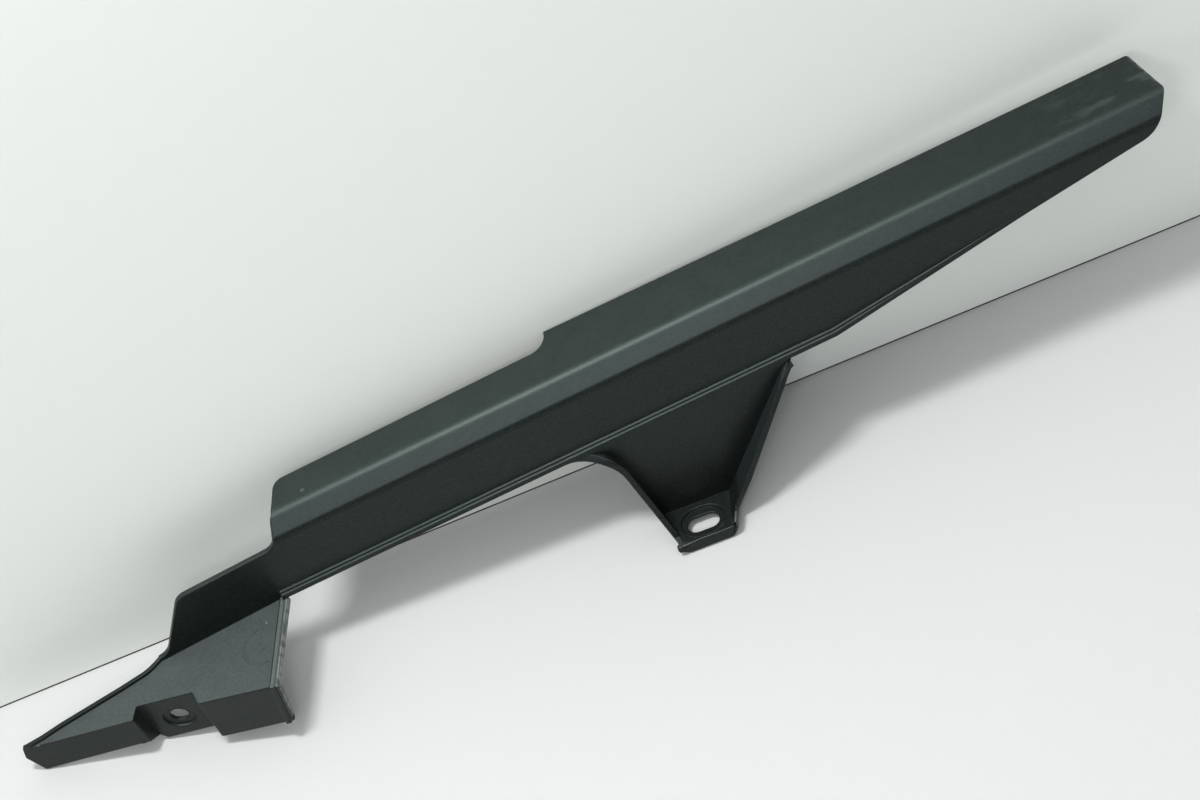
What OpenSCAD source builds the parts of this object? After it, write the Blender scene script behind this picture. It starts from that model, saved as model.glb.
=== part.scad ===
// Motorcycle chain guard, one moulded shell in black plastic.
// Millimetres. X runs along the chain towards the rear wheel, Y inboard, Z up.
// Origin: axis of the front mount hole, on the floor of its bolt seat.

/* [Shell] */
// Thickness of every wall
wall = 2.5; // [2:0.1:3]
// Outer radius of the two long bends
bend_r = 5; // [3.5:0.5:6]

/* [Roof and side wall] */
// Height of the roof above the front mount hole
roof_z = 55.1; // [52:0.1:60]
// Outer face of the side wall, inboard of the front mount seat
side_y = 17.5; // [15:0.5:20]
// Width and height of the sloping band between roof and side wall
slope_w = 7; // [5.5:0.5:8]
// Height of the flat side wall, from the lower bend to the stepped rail
side_h = 27.2; // [24:0.2:31]
// Front end of the roof
roof_x0 = 70.6; // [66:0.2:76]
// Rear end of the roof
roof_x1 = 452; // [430:0.2:470]
// Place where the roof steps to its full width
step_x = 195.4; // [170:0.2:220]
// Roof width in front of the step
roof_w_front = 16.6; // [14:0.2:18]
// Roof width behind the step
roof_w_rear = 24.2; // [22:0.2:28]
// Rake of the roof's front and rear ends
end_rake = 17; // [5:1:22]

/* [Stepped rail] */
// Height of the rail along the lower edge
rail_h = 3.6; // [3.2:0.1:5]
// Height that the rail shrinks towards, at the guard's rear end
rail_h_rear = 1.4; // [1:0.1:3.6]
// Outward size and height of each of its two steps
rail_step = 1; // [0.6:0.1:1.2]
// Place where the lower edge starts to rise
taper_x = 298; // [290:1:310]
// Angle of the rising lower edge
taper_a = 9.6; // [8:0.1:10]
// Place where the rail has run out into the side wall
fade_x = 384; // [370:1:400]

/* [Front tongue] */
// Height of the tongue's free edge above the front mount hole
tongue_z = 44.3; // [41:0.1:46]
// Front end of the tongue at its top edge
tongue_x0 = 22.4; // [16:0.2:28]
// Lean of the tongue's front edge from upright
tongue_lean = 31; // [24:1:34]

/* [Tail box] */
// Height of the shelf above the front mount hole
shelf_z = 13.2; // [12:0.2:15]
// Fall of the tail box towards the front
tail_pitch = 3.3; // [2:0.1:4]
// Angle in plan between the skirt and the side wall
skirt_yaw = 16.5; // [14:0.5:18]
// Front end of the skirt, along its face
skirt_front = 64.2; // [58:0.2:70]
// Rear end of the skirt, along its face
skirt_rear = 50.4; // [46:0.2:54]
// Depth of the skirt below the hole, rear of the mount plate
skirt_deep = 11.6; // [10:0.2:14]
// Depth of the skirt below the hole, front of the mount plate
skirt_short = 3; // [1:0.2:5]
// Depth below the hole of the recess's front cheek, where it meets the mount plate
cheek_deep = 8.1; // [4:0.1:9]
// Distance of the skirt face in front of the bolt seat
skirt_proud = 7.1; // [5:0.1:8]
// Extra reach of the skirt's two ends
skirt_flare = 0.9; // [0:0.1:2]
// Half length of the recess at the mount plate
plate_half = 12.8; // [11:0.2:14]
// Thickness of the mount plate
plate_wall = 3; // [2.6:0.1:4]
// Width of the rim at the tail's rear end
rim_w = 3.6; // [3:0.1:5]
// Height of that rim above shelf and skirt
rim_h = 0.9; // [0.5:0.1:1.2]
// Radius of the rim's rear edge
rim_r = 1.5; // [0.8:0.1:2]
// Height of the lip along the shelf's free edge
lip_h = 1.5; // [1:0.1:2.5]
// Thickness of that lip
lip_w = 1.8; // [1.2:0.1:2.4]

/* [Ear] */
// Front edge of the ear on its panel, at the foot
ear_x0 = 200.9; // [196:0.1:206]
// Rear edge of the ear on its panel, at the foot
ear_x1 = 235.4; // [230:0.1:240]
// Height of the foot below the front mount hole, at the slot
foot_z = -35.5; // [-42:0.5:-32]
// Reach of the foot outwards from the ear's panel
foot_out = 18.7; // [17:0.1:21]
// Fall of the foot towards the rear
foot_pitch = 7; // [4:0.5:9]
// Height of the turned-down lip in front of the foot
foot_lip = 5.8; // [5:0.1:8]
// Corner radius of that lip
foot_lip_r = 3.2; // [1:0.1:3.2]
// Slope of the ear's rear edge from level
ear_rear_a = 51.5; // [45:0.5:58]
// Lean of the ear's front edge from upright
ear_front_a = 5; // [2:0.5:10]
// Draft of the two gussets towards each other
ear_draft = 12.5; // [6:0.5:15]
// Radius that blends the ear into the rail
ear_r = 17; // [12:1:24]
// Reach of the gussets' shoulder outwards from the panel
shoulder_out = 4.4; // [2:0.1:6]
// Drop of that shoulder below the rail
shoulder_drop = 6.2; // [4:0.2:9]
// Reach of the gussets at the foot, short of the foot's front
gusset_back = 5; // [3:0.2:7]
// Diameter of the round nub at the lip's front corner
nub_d = 3.2; // [2:0.1:4]

/* [Mounts] */
// Diameter of the front mount hole
hole_d = 7.4; // [6.4:0.1:8]
// Width of the ear's slot
slot_w = 7.4; // [6.4:0.1:8]
// Overall length of the ear's slot
slot_l = 13; // [10:0.2:14]
// Distance of the slot's axis outwards from the ear's panel
slot_out = 10; // [9:0.1:11]
// Diameter of the bolt seat round the hole
seat_d = 13.2; // [12:0.2:14]
// Length of the bolt seat round the slot
seat_l = 17.8; // [16:0.2:19]
// Width of the bolt seat round the slot
seat_w = 14.2; // [12:0.2:14.6]
// Depth of the seat round the hole
seat_deep = 1; // [0.6:0.1:1.4]
// Depth of the seat round the slot
slot_seat_deep = 1.1; // [0.6:0.1:1.4]

/* [Hidden] */
plastic = [0.20, 0.215, 0.22];
arc_n = 10;                                 // points on a rounded outline corner
over = 40;                                  // how far cutters run past the shell
crease_z = roof_z - slope_w;                // lower bend
rail_z = crease_z - side_h;                 // top of the stepped rail
edge_z = rail_z - rail_h;                   // lower edge of the guard
panel_y = side_y - 2 * rail_step;           // outer face of rail and ear panel
back_y = side_y + wall;                     // inner face of the side wall
roof_y0 = side_y + slope_w;                 // upper bend
roof_y1 = roof_y0 + roof_w_rear;            // inner edge of the roof
skirt_span = 40;                            // length of the tail's rear end in plan
rim_yaw = 20.4;                             // lean of the tail's rear end in plan
rim_lean = 11.5;                            // lean of the tail's rear end in elevation
tip_back = 2.2;                             // set-back of the skirt's front end at the shelf
lip_x = 0.6;                                // front end of the side wall's foot
rail_x0 = 57.4;                             // place where the rail starts, at the tail's rim
foot_x = 216.8;                             // middle of the slot along the guard
foot_y = panel_y - foot_out;                // front face of the foot
top_z = rail_z - rail_step;                 // level in the rail where the ear ends
lip_reach = 11.5;                           // half length of the foot's lip
step_mid_x = (taper_x + fade_x) / 2;        // where the rail's first step has run out

function unit(v) = v / norm(v);
function flip(path) = [for (i = [len(path) - 1 : -1 : 0]) path[i]];

// Arc that rounds the corner b of a, b, c. It takes up at most `fit` of each edge
function corner(a, b, c, r, fit = [0.48, 0.48]) =
    let (u = unit(a - b), v = unit(c - b))
    let (half = acos(max(-1, min(1, u * v))) / 2)
    let (q = min(r, min(fit[0] * norm(a - b), fit[1] * norm(c - b)) * tan(half)))
    q < 0.01 || half > 89.9 ? [b] :
    let (m = b + unit(u + v) * q / sin(half), p0 = b + u * q / tan(half) - m)
    let (p1 = b + v * q / tan(half) - m, a0 = atan2(p0.y, p0.x))
    let (turn = atan2(p0.x * p1.y - p0.y * p1.x, p0 * p1))
    [for (i = [0 : arc_n]) m + q * [cos(a0 + turn * i / arc_n), sin(a0 + turn * i / arc_n)]];

// Outline from corners [x, y, radius]. Beside a sharp corner an arc may use the whole edge
function rounded(path) =
    let (n = len(path), p = [for (c = path) [c[0], c[1]]])
    let (share = [for (c = path) c[2] < 0.5 ? 0.98 : 0.48])
    [for (i = [0 : n - 1]) let (h = (i + n - 1) % n, j = (i + 1) % n)
        each corner(p[h], p[i], p[j], path[i][2], [share[h], share[j]])];

// Open path moved sideways by d, to the left of its direction, with mitred corners
function beside(path, d) = [for (i = [0 : len(path) - 1])
    let (u = unit(path[max(i, 1)] - path[max(i, 1) - 1]))
    let (j = min(i + 1, len(path) - 1), v = unit(path[j] - path[j - 1]))
    let (nu = [-u.y, u.x], nv = [-v.y, v.x])
    path[i] + d * (nu + nv) / (1 + nu * nv)];

// Wall of thickness d along an open path, in plan or elevation
module wall_2d(path, d) polygon(concat(path, flip(beside(path, d))));

// Side view outline pushed through from y0 to y1
module from_side(y0, y1) translate([0, y1, 0]) rotate([90, 0, 0]) linear_extrude(y1 - y0) children();

// Cross-section outline pushed along from x0 to x1
module along(x0, x1) translate([x0, 0, 0]) rotate([90, 0, 90]) linear_extrude(x1 - x0) children();

// Plan outline pushed up from z0 to z1
module upward(z0, z1) translate([0, 0, z0]) linear_extrude(z1 - z0) children();

// Height of the lower edge at x
function edge_at(x) = edge_z + max(0, x - taper_x) * tan(taper_a);

// Cross-section of all that lies `inset` mm or more behind the outer skin of roof and side wall
module behind_skin(inset) {
    r = bend_r - inset;
    reach = bend_r * tan(22.5);
    diag = inset * tan(22.5);
    skin = [
        [side_y + inset, -over],
        [side_y + inset, crease_z - reach],
        [side_y + reach / sqrt(2) + inset / sqrt(2), crease_z + reach / sqrt(2) - inset / sqrt(2)],
        [roof_y0 - reach / sqrt(2) + inset / sqrt(2), roof_z - reach / sqrt(2) - inset / sqrt(2)],
        [roof_y0 + reach, roof_z - inset],
        [roof_y1 + over, roof_z - inset],
        [roof_y1 + over, -over]
    ];
    polygon(skin);
    translate([side_y + bend_r, crease_z - reach]) circle(r = r, $fn = 64);
    translate([roof_y0 + reach, roof_z - bend_r]) circle(r = r, $fn = 64);
}

// Side view of roof, sloping band, side wall and tongue
module side_outline() {
    rise = (roof_x0 - tongue_x0) * tan(2.5);
    front_x = tongue_x0 - (tongue_z - rise - shelf_z - lip_h) * tan(tongue_lean);
    polygon(rounded([
        [lip_x, shelf_z - wall, 0],
        [lip_x, shelf_z + lip_h, 0],
        [front_x, shelf_z + lip_h, 8],
        [tongue_x0, tongue_z - rise, 7],
        [roof_x0 - 5.2, tongue_z, 6],
        [roof_x0, roof_z, 0],
        [roof_x0, roof_z + 1, 0],
        [roof_x1, roof_z + 1, 0],
        [roof_x1, roof_z, 0],
        [roof_x1 - 11.5, edge_at(roof_x1 - 11.5), 13.5],
        [taper_x, edge_z, 10],
        [rail_x0, edge_z, 0],
        [rail_x0, shelf_z - wall, 0]
    ]));
}

// Plan view of the roof, with the sloping band and side wall left whole
module roof_outline() {
    rake = roof_w_rear * tan(end_rake);
    polygon(rounded([
        [-over, -over, 0],
        [roof_x1 + over, -over, 0],
        [roof_x1 + over, roof_y0, 0],
        [roof_x1, roof_y0, 0],
        [roof_x1 - rake, roof_y1, 1.8],
        [step_x + 120, roof_y1, 40],
        [step_x, roof_y1 + 1.2, 0.3],
        [step_x - 0.6, roof_y0 + roof_w_front + 1.2, roof_w_rear - roof_w_front],
        [roof_x0 + roof_w_front * tan(end_rake), roof_y0 + roof_w_front - 0.8, 5.5],
        [roof_x0, roof_y0, 0],
        [-over, roof_y0, 0]
    ]));
}

// Shell of roof, sloping band and side wall, bent from one skin
module skin_shell() {
    intersection() {
        along(-over, roof_x1 + over) difference() {
            behind_skin(0);
            behind_skin(wall);
        }
        from_side(side_y - 1, roof_y1 + over / 2) side_outline();
        upward(-over, roof_z + 1) roof_outline();
    }
}

// Plan band from an outer line to `inner_y`, with the rail's steps running out to the rear
module rail_plan(steps, inner_y) {
    out = side_y - steps * rail_step;
    mid = side_y - (steps > 1 ? 1 : steps) * rail_step;
    polygon([
        [rail_x0, out], [taper_x, out], [step_mid_x, mid], [fade_x, side_y],
        [fade_x, inner_y], [rail_x0, inner_y]
    ]);
}

// Side view strip from below the lower edge up to a height that shrinks along the rising edge
module edge_strip(high) {
    line = [[rail_x0, edge_z], [taper_x, edge_z], [roof_x1, edge_at(roof_x1)]];
    top = beside(line, high);
    polygon(concat(beside(line, -1), [beside(line, high * rail_h_rear / rail_h)[2], top[1], top[0]]));
}

// Two-step rail proud of the side wall, along the whole lower edge
module stepped_rail() {
    for (steps = [1, 2]) {
        intersection() {
            from_side(0, over) intersection() {
                edge_strip(rail_h - (steps - 1) * rail_step);
                side_outline();
            }
            upward(-over, roof_z) rail_plan(steps, back_y - 0.4);
        }
    }
}

// Hollow behind the rail, so the wall stays even where it steps out
module rail_relief() {
    from = rail_x0 + rim_w;
    intersection() {
        from_side(0, over) edge_strip(rail_h - wall);
        upward(-over, roof_z) polygon([
            [from, panel_y + wall], [taper_x, panel_y + wall],
            [step_mid_x, side_y - rail_step + wall], [fade_x, back_y], [fade_x, over], [from, over]
        ]);
    }
}

// Front of the side wall's foot, trimmed to the line of the shelf's free edge
module foot_trim() {
    in_tail() upward(-over, 2 * shelf_z) polygon([
        shelf_edge[3] - [4, 2], shelf_edge[3], shelf_edge[2],
        shelf_edge[1], shelf_edge[1] + [2, 1], shelf_edge[1] + [2, 4], shelf_edge[3] + [-4, 4]
    ]);
}

module side_guard() {
    difference() {
        union() {
            skin_shell();
            stepped_rail();
        }
        rail_relief();
        foot_trim();
    }
}

// Point in plan, u along the skirt towards the rear and v outwards from the bolt seat
function at_skirt(u, v) = [
    u * cos(skirt_yaw) - v * sin(skirt_yaw),
    -u * sin(skirt_yaw) - v * cos(skirt_yaw)
];
skirt_path = [
    at_skirt(-skirt_front, skirt_proud + skirt_flare),
    at_skirt(-plate_half - 0.6, skirt_proud),
    at_skirt(-plate_half + 0.6, seat_deep),
    at_skirt(plate_half - 0.4, seat_deep),
    at_skirt(plate_half + 2.4, skirt_proud),
    at_skirt(skirt_rear, skirt_proud + skirt_flare)
];
// Top corner of the skirt at the tail's front tip
tip = skirt_path[0] + unit(skirt_path[1] - skirt_path[0]) * tip_back;
// Free edge of the shelf, from behind the tongue's foot to the front tip
shelf_edge = [
    [8, back_y - 0.4],
    [3.4, back_y - 0.4],
    [0.4, side_y + 0.5],
    [-2.2, side_y - 0.7],
    [-5.1, side_y - 1.5],
    [-15.4, side_y - 2.7],
    [-43.3, side_y - 5],
    [-52.8, side_y - 6.3],
    tip + [0.5, 0.8]
];
// Line of the tail's rear end in plan, from the side wall to the skirt
rim_line = [
    at_skirt(skirt_rear, skirt_proud + skirt_flare) + (skirt_span + 1.5) * [sin(rim_yaw), cos(rim_yaw)],
    at_skirt(skirt_rear, skirt_proud + skirt_flare)
];

// Everything in the tail box leans with it
module in_tail() rotate([0, -tail_pitch, 0]) children();

// Solid in skirt elevation, u to the rear and z up, pushed from v0 out to v1
module from_skirt(v0, v1) {
    rotate([0, 0, -skirt_yaw]) translate([0, -v0, 0]) rotate([90, 0, 0])
        linear_extrude(v1 - v0) children();
}

// Elevation of the skirt
module skirt_outline() {
    foot_u = skirt_rear - (shelf_z + skirt_deep) * tan(rim_lean);
    polygon(rounded([
        [-skirt_front + tip_back, shelf_z + lip_h, 0],
        [-skirt_front, shelf_z * 0.55, 0.8],
        [-skirt_front + 3.6, -skirt_short, 0.8],
        [-plate_half - 3.2, -skirt_short, 0],
        [-plate_half - 3.2, -cheek_deep, 0],
        [-plate_half - 0.3, -cheek_deep, 0],
        [-plate_half + 1.9, -skirt_deep, 1],
        [foot_u, -skirt_deep, 0],
        [skirt_rear, shelf_z, 0]
    ]));
}

// Plan of the shelf
module shelf_plan() {
    polygon(concat([tip], [for (i = [1 : 5]) skirt_path[i]],
        [rim_line[0], [rail_x0 - 1, back_y - 0.4]], shelf_edge));
}

// Flat shelf that reaches out from the foot of the side wall
module shelf() upward(shelf_z - wall, shelf_z) shelf_plan();

// Low lip along the free edge of the shelf, as far as its tip
module shelf_lip() {
    upward(shelf_z - wall, shelf_z + lip_h) intersection() {
        wall_2d(shelf_edge, lip_w);
        shelf_plan();
    }
}

// Skirt that hangs from the shelf's outer edge, set back at the mount plate
module skirt() {
    intersection() {
        upward(-over, shelf_z) union() {
            wall_2d(skirt_path, wall);
            wall_2d([skirt_path[2], skirt_path[3]], plate_wall);
        }
        difference() {
            from_skirt(-over, over) skirt_outline();
            front_cheek_cut();
        }
    }
    from_skirt(skirt_proud - wall, skirt_proud) notch_cheek();
}

// Slanted foot of the cheek in front of the recess, from the skirt's face down to the plate
module front_cheek_cut() {
    slope = (cheek_deep - skirt_short) / (skirt_proud - seat_deep);
    rotate([0, 0, -skirt_yaw]) mirror([0, 1]) along(-plate_half - wall - 2, -plate_half + 0.8) polygon([
        [skirt_proud + 2, 2 * slope - skirt_short], [seat_deep, -cheek_deep],
        [seat_deep, -over], [skirt_proud + 2, -over]
    ]);
}

// Corner of the skirt behind the recess, which leans forward as it goes down
module notch_cheek() {
    u = plate_half + 2.4;
    polygon([
        [u + 0.1, shelf_z - 1], [u - 1.8, -skirt_deep + 1], [u - 1.4, -skirt_deep],
        [u + 2, -skirt_deep], [u + 2, shelf_z - 1]
    ]);
}

// Frame of the tail's rear end: x out of it to the rear, y along the shelf's end, z up the skirt's
module at_rear() {
    b = rim_line[1];
    translate([b.x, b.y, shelf_z]) rotate([0, 0, -rim_yaw]) rotate([0, rim_lean, 0]) children();
}

// Rounded section of the rim, from its rear face forward, with its outer side raised
module rim_section(slope) {
    high = rim_h / cos(slope);
    polygon(rounded([
        [0, -2 * over, 0],
        [0, high, rim_r],
        [-rim_w, high - rim_w * tan(slope), 0],
        [-rim_w, -2 * over, 0]
    ]));
}

// Raised rim round the open rear end of the tail box, along shelf and skirt
module rear_rim() {
    side = rim_yaw - skirt_yaw;
    difference() {
        intersection() {
            at_rear() from_side(-over, norm(rim_line[0] - rim_line[1])) rim_section(rim_lean);
            at_rear() rotate([-side * sin(rim_lean), 0, 0]) upward(-over, over)
                mirror([0, 1]) rim_section(-side);
            from_skirt(-over, over) rim_limit();
        }
        from_skirt(-2 * over, skirt_proud + skirt_flare - wall)
            translate([-over, -over]) square([3 * over, over + shelf_z - wall]);
    }
}

// Lower end of the rim, with its rear corner cut away
module rim_limit() {
    low = skirt_rear - (shelf_z + skirt_deep) * tan(rim_lean);
    polygon([
        [-over, over], [-over, -skirt_deep], [low - 1.4, -skirt_deep],
        [low + 0.7, -skirt_deep + 3.2], [skirt_rear + over, shelf_z], [skirt_rear + over, over]
    ]);
}

module tail_box() {
    in_tail() {
        shelf();
        shelf_lip();
        skirt();
        rear_rim();
    }
}

// Side view of all that lies behind the ear's front edge, `inset` mm in
module ear_front_side(inset) {
    lean = tan(ear_front_a);
    x0 = ear_x0 + inset / cos(ear_front_a);
    polygon(concat(
        [[ear_x1 + over, top_z], [x0 - lean * (edge_z - foot_z) - 2 * ear_r, top_z]],
        corner([x0 - lean * (edge_z - foot_z) - 2 * ear_r, edge_z + inset],
            [x0 - lean * (edge_z + inset - foot_z), edge_z + inset], [x0, foot_z], ear_r + inset),
        [[x0 + lean * over, foot_z - over], [ear_x1 + over, foot_z - over]]
    ));
}

// Side view of all that lies in front of the ear's rear edge, `inset` mm in
module ear_rear_side(inset) {
    fall = 1 / tan(ear_rear_a);
    x1 = ear_x1 - inset / sin(ear_rear_a);
    polygon(concat(
        [[ear_x0 - over, top_z], [ear_x0 - over, foot_z - over], [x1 - fall * over, foot_z - over]],
        corner([x1, foot_z], [x1 + fall * (edge_z + inset - foot_z), edge_z + inset],
            [x1 + fall * (edge_z - foot_z) + 2 * ear_r, edge_z + inset], ear_r + inset),
        [[x1 + fall * (edge_z - foot_z) + 2 * ear_r, top_z]]
    ));
}

// Solid between the two drafted faces of the ear
module between_gussets(inset) {
    intersection() {
        translate([ear_x0, panel_y, 0]) rotate([0, 0, ear_draft]) translate([-ear_x0, 0, 0])
            from_side(-over, over) ear_front_side(inset);
        translate([ear_x1, panel_y, 0]) rotate([0, 0, -ear_draft]) translate([-ear_x1, 0, 0])
            from_side(-over, over) ear_rear_side(inset);
    }
}

// Frame of the foot: x along the slot, z up from the foot's top face
module at_foot() translate([foot_x, 0, foot_z]) rotate([0, foot_pitch, 0]) children();

// Cross-section of the ear: panel, free edge of the gussets, front of the foot
module ear_section() {
    polygon(rounded([
        [panel_y + wall, top_z, 0],
        [panel_y, top_z, 0],
        [panel_y, edge_z, 0],
        [panel_y - shoulder_out, edge_z - shoulder_drop, 12],
        [foot_y + gusset_back, foot_z + 1.6, 0.3],
        [foot_y, foot_z + 0.4, 0],
        [foot_y, foot_z - over, 0],
        [panel_y + wall, foot_z - over, 0]
    ]));
}

// Space over the foot, between the gussets
module ear_pocket() {
    intersection() {
        between_gussets(wall);
        from_side(foot_y - over, panel_y) translate([ear_x0 - over, -over * 2]) square(6 * over);
        at_foot() upward(0, 3 * over) square(8 * over, center = true);
    }
}

// Outline of the foot and its turned-down lip, seen from the front
module lip_outline() {
    polygon(rounded([
        [-lip_reach - over, over, 0],
        [-lip_reach - over, 0, 0],
        [-lip_reach, -wall, 0],
        [-lip_reach, -foot_lip, foot_lip_r],
        [lip_reach, -foot_lip, foot_lip_r],
        [lip_reach, -wall, 0],
        [lip_reach + over, 0, 0],
        [lip_reach + over, over, 0]
    ]));
}

// Plan of the ear, with the foot's corners taken in towards the lip
module foot_plan() {
    inner = panel_y + wall;
    polygon([
        [foot_x - lip_reach - 0.6, foot_y], [foot_x + lip_reach + 0.2, foot_y],
        [foot_x + lip_reach + 3.4, foot_y + 7], [roof_x1, foot_y + 7], [roof_x1, inner],
        [0, inner], [0, foot_y + 7], [foot_x - lip_reach - 2.6, foot_y + 7]
    ]);
}

// Round nub at the lip's front corner
module nub() {
    at_foot() translate([-lip_reach - 0.2, foot_y + wall, -nub_d * 0.75]) rotate([90, 0, 0])
        cylinder(h = wall + 0.2, d = nub_d, $fn = 32);
}

module ear() {
    difference() {
        intersection() {
            between_gussets(0);
            along(0, roof_x1) ear_section();
            upward(-2 * over, top_z) foot_plan();
            union() {
                at_foot() upward(-wall, 3 * over) square(8 * over, center = true);
                at_foot() from_side(foot_y - over, foot_y + wall) lip_outline();
            }
        }
        ear_pocket();
    }
    nub();
}

// Mount hole square to the plate, with the seat of its bolt head
module front_hole() {
    in_tail() rotate([0, 0, -skirt_yaw]) rotate([90, 0, 0]) {
        translate([0, 0, -over / 2]) cylinder(h = over, d = hole_d, $fn = 48);
        cylinder(h = skirt_proud, d = seat_d, $fn = 64);
    }
}

module stadium(l, d) {
    for (side = [-1, 1]) translate([side * (l - d) / 2, 0]) circle(d = d, $fn = 48);
    square([l - d, d], center = true);
}

// Slot through the foot, with the seat of its bolt head
module foot_slot() {
    at_foot() translate([0, panel_y - slot_out, 0]) {
        upward(-2 * wall, wall) stadium(slot_l, slot_w);
        upward(-slot_seat_deep, wall) stadium(seat_l, seat_w);
    }
}

module chain_guard() color(plastic) {
    difference() {
        union() {
            side_guard();
            tail_box();
            ear();
        }
        front_hole();
        foot_slot();
    }
}

chain_guard();
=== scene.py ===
import math
from types import SimpleNamespace

import bmesh
import bpy
from mathutils import Matrix, Vector
from mathutils.bvhtree import BVHTree


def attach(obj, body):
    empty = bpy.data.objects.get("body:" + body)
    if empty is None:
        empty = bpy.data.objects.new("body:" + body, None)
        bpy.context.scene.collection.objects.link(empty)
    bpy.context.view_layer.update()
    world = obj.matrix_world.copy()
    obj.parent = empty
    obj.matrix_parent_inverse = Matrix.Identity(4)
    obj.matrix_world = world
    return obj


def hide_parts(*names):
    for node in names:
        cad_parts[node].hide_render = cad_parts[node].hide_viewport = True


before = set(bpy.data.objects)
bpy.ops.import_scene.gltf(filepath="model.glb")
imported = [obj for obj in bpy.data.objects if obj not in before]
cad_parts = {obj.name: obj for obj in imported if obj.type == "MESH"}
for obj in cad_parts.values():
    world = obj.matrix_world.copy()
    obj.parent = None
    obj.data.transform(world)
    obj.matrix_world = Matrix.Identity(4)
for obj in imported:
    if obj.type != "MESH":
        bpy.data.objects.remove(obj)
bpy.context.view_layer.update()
scene = bpy.context.scene

# Guard: the solid with its sharp edges rounded
guard = {
    "mergeDist": 2e-6,
    "tiny": 1e-6,
    "flatAngle": math.radians(0.4),
    "edgeRound": 0.0005,
    "edgeSteps": 2,
    "edgeAngle": math.radians(28),  # an edge that turns more than this is rounded
    "innerRound": 0.35,  # share of the round that an inner edge gets
    "stray": 0.0005,  # a point farther than this off the solid is put back
    "normalWeight": 50,
}

# Upper bend: its centre line and radius in the section, and how far its shading runs past the arc
bend = {
    "centre": (0.026571, 0.0501),
    "radius": 0.005,
    "angle": math.radians(45),
    "lead": 0.0013,
    "tail": 0.0004,
    "arcFrom": 0.003,  # the arc's points are all higher than this over its centre
    "onRoof": 1e-5,  # how far off the roof, and off the arc, a point still counts as on it
    "onArc": 4e-5,
    "level": 0.999,  # the roof's normals rise at least this much
    "sameWay": 0.9,  # a face keeps its normal if the bend's agrees with it less than this
    "roofCuts": (0.10, 0.14, 0.18, 0.21, 0.26, 0.31, 0.36, 0.41),
}


# Loose triangles become one closed mesh of flat faces
def mergeFaces(bm):
    bmesh.ops.remove_doubles(bm, verts=bm.verts, dist=guard["mergeDist"])
    bmesh.ops.dissolve_degenerate(bm, dist=guard["tiny"], edges=bm.edges)
    bmesh.ops.dissolve_limit(bm, angle_limit=guard["flatAngle"], verts=bm.verts, edges=bm.edges,
                             delimit={"NORMAL"})
    bmesh.ops.recalc_face_normals(bm, faces=bm.faces)


# The roof is cut where the bend's shading starts, and across, so that its normals stay even
def cutRoof(bm):
    roofZ = bend["centre"][1] + bend["radius"]
    cuts = [((0, bend["centre"][0] + bend["lead"], roofZ), (0, 1, 0))]
    cuts += [((x, 0, roofZ), (1, 0, 0)) for x in bend["roofCuts"]]
    for point, normal in cuts:
        faces = [f for f in bm.faces
                 if f.normal.z > bend["level"] and abs(f.verts[0].co.z - roofZ) < bend["onRoof"]]
        edges = list({e for f in faces for e in f.edges})
        verts = list({v for f in faces for v in f.verts})
        bmesh.ops.bisect_plane(bm, geom=faces + edges + verts, dist=guard["tiny"],
                               plane_co=point, plane_no=normal)


def weighEdges(bm):
    weight = bm.edges.layers.float.new("bevel_weight_edge")
    for edge in bm.edges:
        if len(edge.link_faces) == 2 and edge.calc_face_angle() > guard["edgeAngle"]:
            edge[weight] = 1 if edge.is_convex else guard["innerRound"]


def guardMesh(node):
    mesh = node.data.copy()
    mesh.name = "guardSkin"
    bm = bmesh.new()
    bm.from_mesh(mesh)
    mergeFaces(bm)
    cutRoof(bm)
    weighEdges(bm)
    bm.to_mesh(mesh)
    bm.free()
    return mesh


def bakeModifiers(obj):
    depsgraph = bpy.context.evaluated_depsgraph_get()
    mesh = bpy.data.meshes.new_from_object(obj.evaluated_get(depsgraph))
    obj.modifiers.clear()
    obj.data = mesh


# Points that the bevel throws off the part's surface are put back on it
def pullBack(obj, surface):
    stray = 0
    for vert in obj.data.vertices:
        place, _, _, away = surface.find_nearest(vert.co)
        if away > guard["stray"]:
            vert.co = place
            stray += 1
    print("pulled back", stray)


def roundEdges(obj):
    surface = BVHTree.FromPolygons([v.co.copy() for v in obj.data.vertices],
                                   [list(p.vertices) for p in obj.data.polygons])
    rounding = obj.modifiers.new("edgeRound", "BEVEL")
    rounding.width = guard["edgeRound"]
    rounding.segments = guard["edgeSteps"]
    rounding.limit_method = "WEIGHT"
    rounding.use_clamp_overlap = False
    rounding.miter_outer = "MITER_ARC"
    bakeModifiers(obj)
    pullBack(obj, surface)
    even = obj.modifiers.new("faceNormals", "WEIGHTED_NORMAL")
    even.mode = "FACE_AREA"
    even.weight = guard["normalWeight"]
    for poly in obj.data.polygons:
        poly.use_smooth = True
    bakeModifiers(obj)


# Normal of the widened bend at a point on it, or None elsewhere
def bendNormal(co):
    y, z = co.y - bend["centre"][0], co.z - bend["centre"][1]
    total = bend["lead"] + bend["radius"] * bend["angle"] + bend["tail"]
    offRoof = abs(z - bend["radius"])
    offArc = abs(math.hypot(y, z) - bend["radius"])
    if 0 <= y < bend["lead"] + guard["tiny"] and offRoof < bend["onRoof"]:
        along = bend["lead"] - y
    elif y < 0 and z > bend["arcFrom"] and offArc < bend["onArc"]:
        along = bend["lead"] + bend["radius"] * math.atan2(-y, z)
    else:
        return None
    turn = bend["angle"] * along / total
    return Vector((0, -math.sin(turn), math.cos(turn)))


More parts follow.
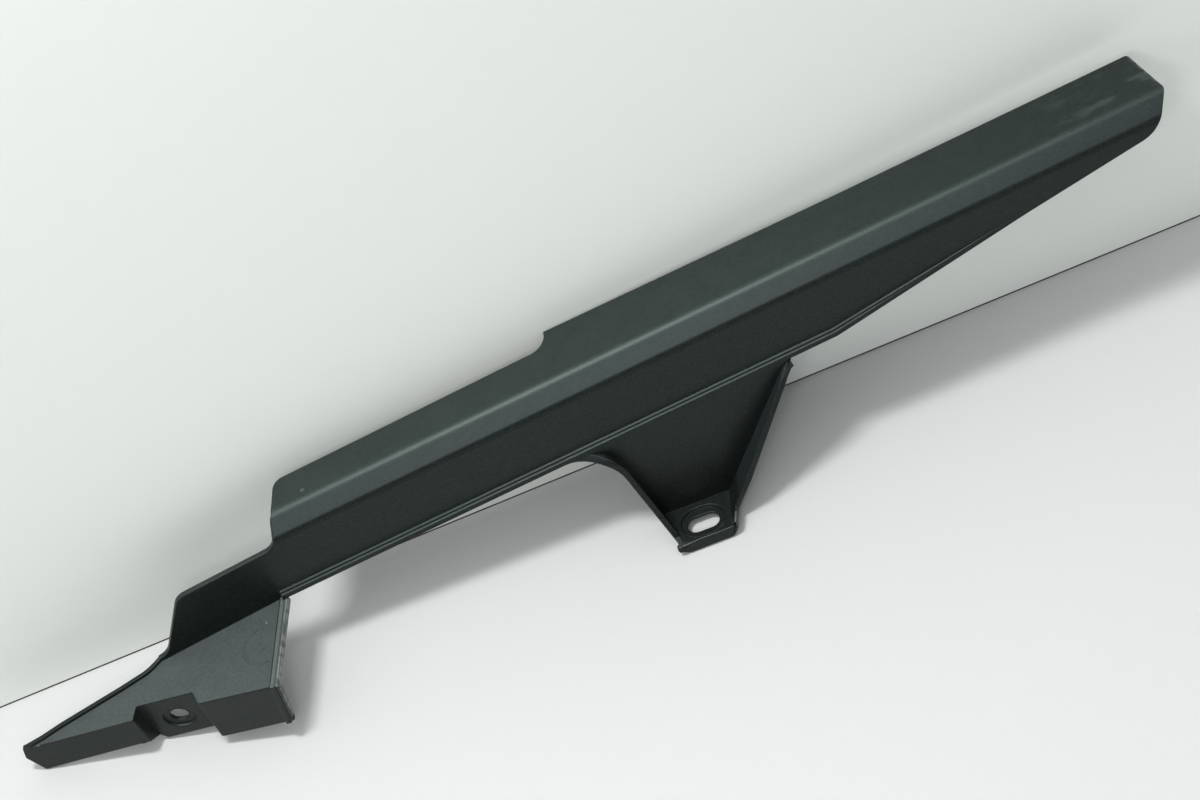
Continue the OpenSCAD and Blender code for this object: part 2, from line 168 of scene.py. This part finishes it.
def softenBend(mesh):
    normals = [Vector(n.vector) for n in mesh.corner_normals]
    for poly in mesh.polygons:
        for i in poly.loop_indices:
            soft = bendNormal(mesh.vertices[mesh.loops[i].vertex_index].co)
            if soft is not None and soft.dot(poly.normal) > bend["sameWay"]:
                normals[i] = soft
    mesh.normals_split_custom_set(normals)


# Noises on the plastic: scale, detail and stretch
noises = {
    "speckle": (1300, 2, (1, 1, 1)),
    "fine": (700, 2, (1, 1, 1)),
    "broad": (120, 3, (1, 1, 1)),
    "streaks": (70, 5, (1, 3, 1)),
    "rubbing": (420, 3, (1, 1, 1)),
    "endWear": (260, 4, (1, 1, 1)),
    "grain": (1900, 3, (1, 1, 1)),
}

# Each soft step below says where it starts and ends, then its values there if not 0 and 1

# Black moulded plastic, finely grained
plastic = {
    "base": (0.0030, 0.0036, 0.0036),
    "baseLight": (0.0090, 0.0108, 0.0106),
    "speckle": (0.36, 0.64),
    "tint": (0.80, 1.0, 0.93),
    "rough": 0.38,
    "shine": 0.24,
    "grain": 0.35,
    "grainHeight": 0.0001,
}

# Dust and painted sheen: a paler layer, full on level faces and thinner on sloping ones, partly
# dust and partly the painted sheen that the roof and the sloping band get from the lamps and the
# backdrop; less of it towards the rear, which paints the rear darker
dustAndSheen = {
    "levelColour": (0.0216, 0.0281, 0.0258),
    "slopeColour": (0.0280, 0.0362, 0.0378),
    "shade": (0.80, 0.92),
    "level": (0.85, 0.97),
    "slope": (0.50, 0.69, 0.0, 0.52),
    "rearward": (0.24, 0.44, 1.0, 0.55),
    "cover": 0.9,
    "fine": (0.3, 0.7, -0.10, 0.10),
    "broad": (0.3, 0.7, -0.07, 0.07),
    "missingShare": 0.8,  # share that is missing from the foot and the tail box's lip
}

# Rear end of the roof: its raked line, worn pale with a painted highlight along that edge, and the
# scuffs in front of it
roofEnd = {
    "rake": math.tan(math.radians(17)),
    "rakeFrom": 0.0245,
    "wornHighlight": (0.085, 0.090, 0.085),
    "wornHighlightAlong": (0.4508, 0.4516),
    "wornHighlightAbove": 0.0522,
    "wornHighlightPatches": (0.46, 0.6),
    "scuff": (0.031, 0.039, 0.036),
    "scuffAlong": (0.395, 0.425),
    "scuffPatches": (0.48, 0.72),
}

# Tail box: the slope and height of its top, how far it reaches, and its rear rim's line in plan
tail = {
    "slope": 0.0576,
    "height": 0.0132,
    "reach": (0.062, 0.0172),
    "raised": 0.0003,  # what is higher than this over the top belongs to the rim or the lip
    "lipAcross": -0.0028,
    "rimPoint": (0.0450, -0.0214),
    "rimTurn": math.radians(20.4),
}

# Its dull, sandy top, with a faint curved smudge
tailTop = {
    "colour": (0.056, 0.064, 0.065),
    "rough": 0.62,
    "cover": 0.80,
    "sand": (0.32, 0.68, -0.20, 0.20),
    "broad": (0.3, 0.7, -0.08, 0.08),
    "smudgeAt": (0.044, 0.000, 0.0157),
    "smudgeRadius": 0.0085,
    "smudgeLine": (0.0003, 0.0012, 0.20, 0.0),
    "smudgeAlong": (0.042, 0.048, 1.0, 0.0),
}

# Its rear rim: worn pale on top and on the end face, with painted shade over its rounded outer
# side and a painted shadow line along its foot in front
tailRim = {
    "height": 0.0013,
    "colour": (0.084, 0.098, 0.093),
    "topAcross": -0.0026,
    "topAbove": -0.0003,
    "topFacing": (0.30, 0.60),
    "shadedEdgeColour": (0.046, 0.053, 0.050),
    "shadedEdgeAcross": (-0.0014, -0.0008),
    "endColour": (0.200, 0.218, 0.205),
    "endAcross": -0.0030,
    "endFacing": (0.45, 0.7),
    "endPatches": (0.38, 0.60, 0.35, 1.0),
    "stepShadowAcross": -0.00285,
    "stepShadowLine": (0.0002, 0.00055, 1.0, 0.0),
    "stepShadowAbove": -0.0006,
}

# Pale specks: place, radius and strength of each
specks = {
    "colour": (0.25, 0.26, 0.25),
    "core": 0.5,
    "spots": [
        ((0.0858, 0.0293, 0.0551), 0.0012, 0.16),
        ((0.0479, 0.0098, 0.0160), 0.0005, 0.60),
        ((-0.0560, 0.0080, 0.0100), 0.0006, 0.80),
    ],
}

# Painted highlight: a bright line along the top of the foot's rounded front, where it turns up
# towards the lamps
footHighlight = {
    "colour": (0.34, 0.36, 0.35),
    "below": -0.030,
    "front": 0.0012,
    "tilt": 0.93,
    "line": (0.0, 0.030, 1.0, 0.0),
}


# A socket takes either a link from another one or a fixed value
def feed(tree, socket, given):
    if isinstance(given, bpy.types.NodeSocket):
        tree.links.new(given, socket)
    else:
        socket.default_value = given


# This function and the next seven add nodes to a tree and give back the socket that they end in
def calc(tree, operation, one, two=0.0):
    node = tree.nodes.new("ShaderNodeMath")
    node.operation = operation
    feed(tree, node.inputs[0], one)
    feed(tree, node.inputs[1], two)
    return node.outputs["Value"]


def allOf(tree, *masks):
    total = masks[0]
    for mask in masks[1:]:
        total = calc(tree, "MULTIPLY", total, mask)
    return total


def ramp(tree, source, low, high, start=0.0, end=1.0):
    node = tree.nodes.new("ShaderNodeMapRange")
    node.interpolation_type = "SMOOTHSTEP"
    given = {"From Min": low, "From Max": high, "To Min": start, "To Max": end}
    for name, number in given.items():
        node.inputs[name].default_value = number
    tree.links.new(source, node.inputs["Value"])
    return node.outputs["Result"]


# Soft line where the source is near the middle value
def softLine(tree, source, middle, line):
    off = calc(tree, "ABSOLUTE", calc(tree, "SUBTRACT", source, middle))
    return ramp(tree, off, *line)


def noise(tree, coords, name):
    scale, detail, stretch = noises[name]
    mapping = tree.nodes.new("ShaderNodeMapping")
    mapping.inputs["Scale"].default_value = stretch
    tree.links.new(coords, mapping.inputs["Vector"])
    node = tree.nodes.new("ShaderNodeTexNoise")
    node.inputs["Scale"].default_value = scale
    node.inputs["Detail"].default_value = detail
    tree.links.new(mapping.outputs["Vector"], node.inputs["Vector"])
    return node.outputs["Fac"]


def split(tree, source):
    node = tree.nodes.new("ShaderNodeSeparateXYZ")
    tree.links.new(source, node.inputs["Vector"])
    return [node.outputs[name] for name in ("X", "Y", "Z")]


def blend(tree, factor, one, two):
    node = tree.nodes.new("ShaderNodeMix")
    node.data_type = "RGBA"
    tree.links.new(factor, node.inputs[0])
    for socket, given in zip((node.inputs[6], node.inputs[7]), (one, two)):
        feed(tree, socket, (*given, 1) if isinstance(given, tuple) else given)
    return node.outputs[2]


def distance(tree, coords, point):
    node = tree.nodes.new("ShaderNodeVectorMath")
    node.operation = "DISTANCE"
    tree.links.new(coords, node.inputs[0])
    node.inputs[1].default_value = point
    return node.outputs["Value"]


# What the stages of the plastic share: place, facing, noises, and where the tail box is
def surfaceSockets(tree):
    coords = tree.nodes.new("ShaderNodeTexCoord").outputs["Object"]
    x, y, z = split(tree, coords)
    nx, _, nz = split(tree, tree.nodes.new("ShaderNodeNewGeometry").outputs["Normal"])
    broad = noise(tree, coords, "broad")
    uneven = calc(tree, "ADD", ramp(tree, noise(tree, coords, "fine"), *dustAndSheen["fine"]),
                  ramp(tree, broad, *dustAndSheen["broad"]))
    risen = calc(tree, "SUBTRACT", z, calc(tree, "MULTIPLY", x, tail["slope"]))
    rimX = calc(tree, "SUBTRACT", x, tail["rimPoint"][0])
    rimY = calc(tree, "SUBTRACT", y, tail["rimPoint"][1])
    return SimpleNamespace(
        coords=coords, x=x, y=y, z=z, nx=nx, nz=nz, broad=broad,
        speckle=noise(tree, coords, "speckle"),
        upward=ramp(tree, nz, *dustAndSheen["level"]),
        patchy=calc(tree, "ADD", uneven, dustAndSheen["cover"]),
        onTail=allOf(tree, calc(tree, "LESS_THAN", x, tail["reach"][0]),
                     calc(tree, "LESS_THAN", y, tail["reach"][1])),
        above=calc(tree, "SUBTRACT", risen, tail["height"]),
        across=calc(tree, "SUBTRACT", calc(tree, "MULTIPLY", rimX, math.cos(tail["rimTurn"])),
                    calc(tree, "MULTIPLY", rimY, math.sin(tail["rimTurn"]))),
    )


# Plain plastic under a paler layer on the faces that look up, partly dust and partly painted sheen
def dustAndSheenPlastic(tree, at):
    lip = allOf(tree, at.onTail, calc(tree, "GREATER_THAN", at.above, tail["raised"]),
                calc(tree, "LESS_THAN", at.across, tail["lipAcross"]))
    footOrLip = calc(tree, "MAXIMUM", calc(tree, "LESS_THAN", at.z, footHighlight["below"]), lip)
    left = calc(tree, "SUBTRACT", 1.0, calc(tree, "MULTIPLY", footOrLip, dustAndSheen["missingShare"]))
    lying = calc(tree, "MAXIMUM", at.upward, ramp(tree, at.nz, *dustAndSheen["slope"]))
    dustAndSheenCover = allOf(tree, lying, left, at.patchy, ramp(tree, at.x, *dustAndSheen["rearward"]))
    plain = blend(tree, ramp(tree, at.speckle, *plastic["speckle"]),
                  plastic["base"], plastic["baseLight"])
    pale = blend(tree, ramp(tree, at.nz, *dustAndSheen["shade"]), dustAndSheen["slopeColour"], dustAndSheen["levelColour"])
    return blend(tree, dustAndSheenCover, plain, pale)


def roofEndWearAndHighlight(tree, at, colour):
    patches = ramp(tree, noise(tree, at.coords, "streaks"), *roofEnd["scuffPatches"])
    scuff = allOf(tree, at.upward, ramp(tree, at.x, *roofEnd["scuffAlong"]), patches)
    colour = blend(tree, scuff, colour, roofEnd["scuff"])
    # The pale band along the raked end is wear and a painted edge highlight together
    inboard = calc(tree, "SUBTRACT", at.y, roofEnd["rakeFrom"])
    past = calc(tree, "ADD", at.x, calc(tree, "MULTIPLY", inboard, roofEnd["rake"]))
    wornHighlight = allOf(tree, ramp(tree, past, *roofEnd["wornHighlightAlong"]),
                   calc(tree, "GREATER_THAN", at.z, roofEnd["wornHighlightAbove"]),
                   ramp(tree, noise(tree, at.coords, "rubbing"), *roofEnd["wornHighlightPatches"]))
    return blend(tree, wornHighlight, colour, roofEnd["wornHighlight"])


def tailTopMask(tree, at):
    flat = calc(tree, "LESS_THAN", at.above, tail["raised"])
    return allOf(tree, at.onTail, at.upward, flat)


def tailTopWear(tree, at, colour, top):
    fromMiddle = distance(tree, at.coords, tailTop["smudgeAt"])
    ring = softLine(tree, fromMiddle, tailTop["smudgeRadius"], tailTop["smudgeLine"])
    smudge = allOf(tree, ring, ramp(tree, at.x, *tailTop["smudgeAlong"]))
    sand = calc(tree, "ADD", ramp(tree, at.speckle, *tailTop["sand"]),
                ramp(tree, at.broad, *tailTop["broad"]))
    cover = calc(tree, "SUBTRACT", calc(tree, "ADD", sand, tailTop["cover"]), smudge)
    return blend(tree, allOf(tree, top, cover), colour, tailTop["colour"])


def rimMasks(tree, at):
    low = calc(tree, "LESS_THAN", at.above, tailRim["height"])
    top = allOf(tree, at.onTail, low, calc(tree, "GREATER_THAN", at.across, tailRim["topAcross"]),
                calc(tree, "GREATER_THAN", at.above, tailRim["topAbove"]),
                ramp(tree, at.nz, *tailRim["topFacing"]), at.patchy)
    end = allOf(tree, at.onTail, low, calc(tree, "GREATER_THAN", at.across, tailRim["endAcross"]),
                ramp(tree, at.nx, *tailRim["endFacing"]),
                ramp(tree, noise(tree, at.coords, "endWear"), *tailRim["endPatches"]))
    return top, end


def rimWearAndShade(tree, at, colour, rimTop, rimEnd):
    # Painted shadow: a dark line along the foot of the rim, in front of it
    line = softLine(tree, at.across, tailRim["stepShadowAcross"], tailRim["stepShadowLine"])
    stepShadow = allOf(tree, at.onTail, line,
                   calc(tree, "GREATER_THAN", at.above, tailRim["stepShadowAbove"]))
    colour = blend(tree, stepShadow, colour, plastic["base"])
    # Painted shade: the rim's pale top turns darker over its rounded outer side
    shade = blend(tree, ramp(tree, at.across, *tailRim["shadedEdgeAcross"]),
                  tailRim["colour"], tailRim["shadedEdgeColour"])
    colour = blend(tree, rimTop, colour, shade)
    return blend(tree, rimEnd, colour, tailRim["endColour"])


def specksAndFootHighlight(tree, at, colour):
    for point, radius, strength in specks["spots"]:
        near = distance(tree, at.coords, point)
        spot = ramp(tree, near, radius * specks["core"], radius, strength, 0.0)
        colour = blend(tree, spot, colour, specks["colour"])
    # Painted highlight along the top of the foot's rounded front
    onFoot = allOf(tree, calc(tree, "LESS_THAN", at.z, footHighlight["below"]),
                   calc(tree, "LESS_THAN", at.y, footHighlight["front"]))
    line = softLine(tree, at.nz, footHighlight["tilt"], footHighlight["line"])
    return blend(tree, allOf(tree, line, onFoot), colour, footHighlight["colour"])


def addGrain(tree, at, shader):
    bump = tree.nodes.new("ShaderNodeBump")
    bump.inputs["Strength"].default_value = plastic["grain"]
    bump.inputs["Distance"].default_value = plastic["grainHeight"]
    tree.links.new(noise(tree, at.coords, "grain"), bump.inputs["Height"])
    tree.links.new(bump.outputs["Normal"], shader.inputs["Normal"])


def plasticMaterial():
    mat = bpy.data.materials.new("blackPlastic")
    mat.use_nodes = True
    tree = mat.node_tree
    shader = tree.nodes["Principled BSDF"]
    at = surfaceSockets(tree)
    top = tailTopMask(tree, at)
    rimTop, rimEnd = rimMasks(tree, at)

    colour = dustAndSheenPlastic(tree, at)
    colour = roofEndWearAndHighlight(tree, at, colour)
    colour = tailTopWear(tree, at, colour, top)
    colour = rimWearAndShade(tree, at, colour, rimTop, rimEnd)
    colour = specksAndFootHighlight(tree, at, colour)
    tree.links.new(colour, shader.inputs["Base Color"])

    matt = calc(tree, "MAXIMUM", top, calc(tree, "MAXIMUM", rimTop, rimEnd))
    more = calc(tree, "MULTIPLY", matt, tailTop["rough"] - plastic["rough"])
    tree.links.new(calc(tree, "ADD", plastic["rough"], more), shader.inputs["Roughness"])
    shader.inputs["Specular IOR Level"].default_value = plastic["shine"]
    shader.inputs["Specular Tint"].default_value = (*plastic["tint"], 1)
    addGrain(tree, at, shader)
    return mat


def addSkin():
    obj = bpy.data.objects.new("guardSkin", guardMesh(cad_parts["chain_guard"]))
    scene.collection.objects.link(obj)
    roundEdges(obj)
    softenBend(obj.data)
    obj.data.materials.clear()
    obj.data.materials.append(plasticMaterial())
    for poly in obj.data.polygons:
        poly.material_index = 0
    return obj


print("guard skin")
skin = addSkin()
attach(skin, "root")
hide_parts("chain_guard")

# Studio: the guard stands on a pale floor and leans on a pale backdrop, with a dark joint between
studio = {
    "floorNormal": (0.124, -0.06, 1.0),
    "backNormal": (0.0268, -0.9976, -0.0632),
    "width": 9.0,
    "depth": 5.0,
    "gap": 0.0005,
    "seam": 0.0009,
    "jointReach": 3,  # seams that the strip behind the joint reaches to each side
    "jointColour": (0.060, 0.050, 0.038),
    "floorColour": (0.51, 0.517, 0.51),
    "backColour": (0.775, 0.80, 0.765),
    "rough": 0.9,
    "shine": 0.1,
    "worldColour": (0.92, 0.96, 1.0),
    "worldStrength": 0.45,
}


# Pale and matt in front, clear from behind
def paleMaterial(name, colour):
    mat = bpy.data.materials.new(name)
    mat.use_nodes = True
    nodes, links = mat.node_tree.nodes, mat.node_tree.links
    shader = nodes["Principled BSDF"]
    shader.inputs["Base Color"].default_value = (*colour, 1)
    shader.inputs["Roughness"].default_value = studio["rough"]
    shader.inputs["Specular IOR Level"].default_value = studio["shine"]
    side = nodes.new("ShaderNodeNewGeometry")
    clear = nodes.new("ShaderNodeBsdfTransparent")
    mix = nodes.new("ShaderNodeMixShader")
    links.new(side.outputs["Backfacing"], mix.inputs["Fac"])
    links.new(shader.outputs["BSDF"], mix.inputs[1])
    links.new(clear.outputs["BSDF"], mix.inputs[2])
    links.new(mix.outputs["Shader"], nodes["Material Output"].inputs["Surface"])
    return mat


def stagePlane(name, corners, colour):
    mesh = bpy.data.meshes.new(name)
    mesh.from_pydata(corners, [], [(0, 1, 2, 3)])
    mesh.materials.append(paleMaterial(name, colour))
    plane = bpy.data.objects.new(name, mesh)
    scene.collection.objects.link(plane)


# The floor touches the guard's lowest points, and the backdrop its farthest point inboard
def stagePlanes():
    up = Vector(studio["floorNormal"]).normalized()
    out = Vector(studio["backNormal"]).normalized()
    out = (out - up * out.dot(up)).normalized()
    points = [v.co for v in skin.data.vertices]
    low = min(p.dot(up) for p in points) - studio["gap"]
    back = min(p.dot(out) for p in points) - studio["gap"]
    corner = up * low + out * back
    half = up.cross(out).normalized() * studio["width"] / 2
    near, high = out * studio["depth"], up * studio["depth"]
    seam = up * studio["seam"]
    stagePlane("floor", [corner - half, corner - half + near, corner + half + near, corner + half],
               studio["floorColour"])
    behind = corner - out * studio["seam"]
    reach = seam * studio["jointReach"]
    stagePlane("joint", [behind - half - reach, behind + half - reach,
                         behind + half + reach, behind - half + reach], studio["jointColour"])
    stagePlane("backdrop", [corner - half + seam, corner + half + seam,
                            corner + half + high, corner - half + high], studio["backColour"])


# Soft lights, all turned to one point near the guard's middle
lightAim = (0.2, 0.0, 0.04)
softLights = [
    {"name": "high", "at": (0.200, -1.033, 1.942), "size": (0.90, 0.90), "power": 3.2},
    {"name": "left", "at": (-1.220, -0.994, 1.354), "size": (1.80, 1.40), "power": 8.5},
    {"name": "right", "at": (0.991, -0.664, 1.942), "size": (0.90, 0.90), "power": 3.6},
    {"name": "keyNear", "at": (0.070, -0.200, 1.250), "size": (0.25, 0.15), "power": 11},
    {"name": "keyFar", "at": (0.000, -0.270, 1.600), "size": (0.30, 0.20), "power": 3.6},
    {"name": "bandLamp", "at": (0.100, -1.150, 1.120), "size": (0.25, 0.25), "power": 4.2},
]


def softLight(spec):
    data = bpy.data.lights.new(spec["name"], "AREA")
    data.shape = "RECTANGLE"
    data.size, data.size_y = spec["size"]
    data.energy = spec["power"]
    light = bpy.data.objects.new(spec["name"], data)
    light.location = spec["at"]
    aim = Vector(lightAim) - Vector(spec["at"])
    light.rotation_euler = aim.to_track_quat("-Z", "Y").to_euler()
    scene.collection.objects.link(light)


def ambient():
    world = bpy.data.worlds.new("ambient")
    world.use_nodes = True
    back = world.node_tree.nodes["Background"]
    back.inputs["Color"].default_value = (*studio["worldColour"], 1)
    back.inputs["Strength"].default_value = studio["worldStrength"]
    scene.world = world


print("studio")
stagePlanes()
for spec in softLights:
    softLight(spec)
ambient()

# Camera: its place, its own axes and its lens
lens = {
    "at": (0.40591, -1.32549, 1.51685),
    "right": (0.898060, -0.257674, -0.356498),
    "up": (0.428353, 0.696554, 0.575609),
    "back": (0.1, -0.669639, 0.735924),
    "focal": 156,
    "sensor": 36,
    "far": 50,
}


def addCamera():
    data = bpy.data.cameras.new("camera")
    data.lens = lens["focal"]
    data.sensor_width = lens["sensor"]
    data.sensor_fit = "HORIZONTAL"
    data.clip_end = lens["far"]
    camera = bpy.data.objects.new("camera", data)
    turn = Matrix((lens["right"], lens["up"], lens["back"])).transposed()
    camera.matrix_world = Matrix.Translation(lens["at"]) @ turn.to_4x4()
    scene.collection.objects.link(camera)
    scene.camera = camera


print("camera")
addCamera()
scene.view_settings.view_transform = "Standard"
